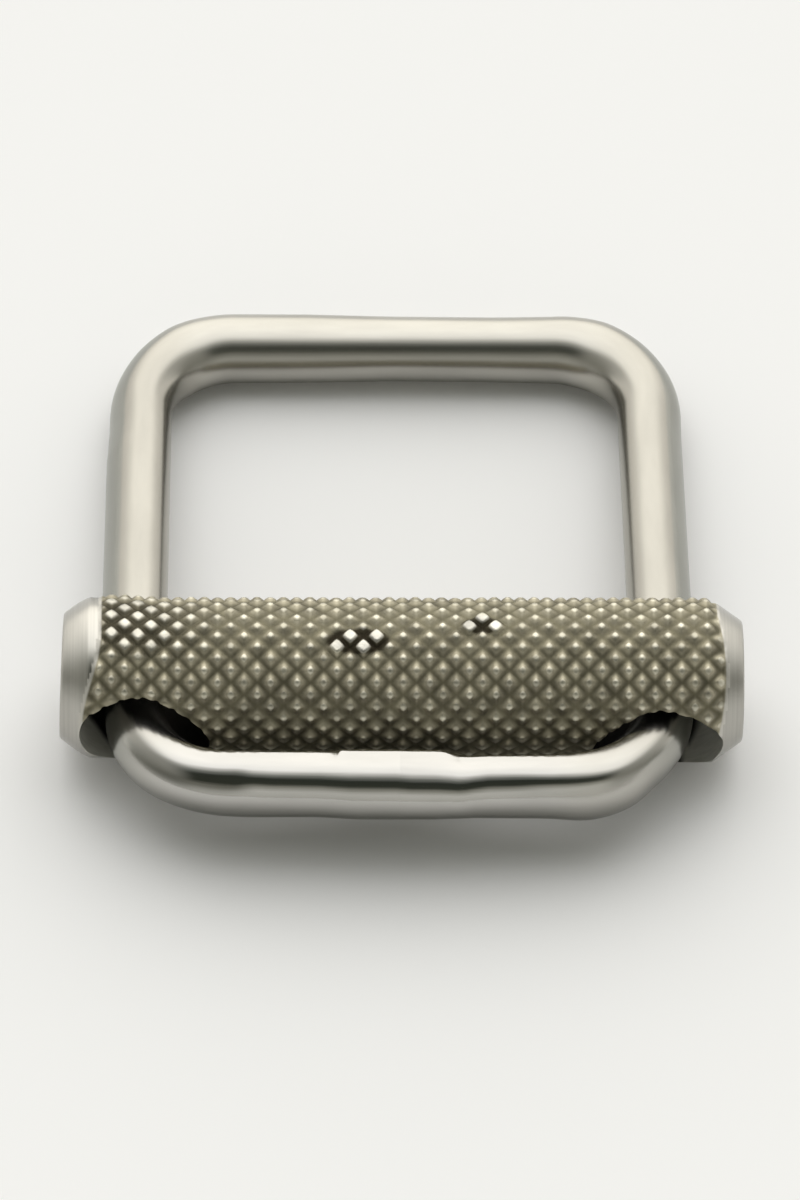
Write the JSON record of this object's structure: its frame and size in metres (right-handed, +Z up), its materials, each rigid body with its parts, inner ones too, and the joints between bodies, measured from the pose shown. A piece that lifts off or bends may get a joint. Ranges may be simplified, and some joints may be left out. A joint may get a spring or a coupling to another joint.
{
  "type": "slide bar buckle",
  "caption": "Wire frame buckle with a knurled bar that slides along the legs and grips a webbing strap.",
  "frame": {"origin": "on the surface that the buckle lies on, under the middle of its outline", "axes": "+X along the knurled bar, +Y from the front cross bar towards the rear cross bar, +Z up"},
  "size_m": [0.042, 0.0409, 0.0104],
  "materials": {
    "satin_wire": "satin round wire, drawn along its length",
    "knurled_steel": "turned ends and a diamond knurl"
  },
  "bodies": {
    "frame": {"wire_frame": "satin_wire"},
    "bar": {"knurled_bar": "knurled_steel"}
  },
  "joints": [
    {"name": "bar_slide", "type": "slide", "parent": "frame", "child": "bar", "axis": [0, 0.9964, -0.0847], "range_m": [-0.0003, 0.021]}
  ]
}
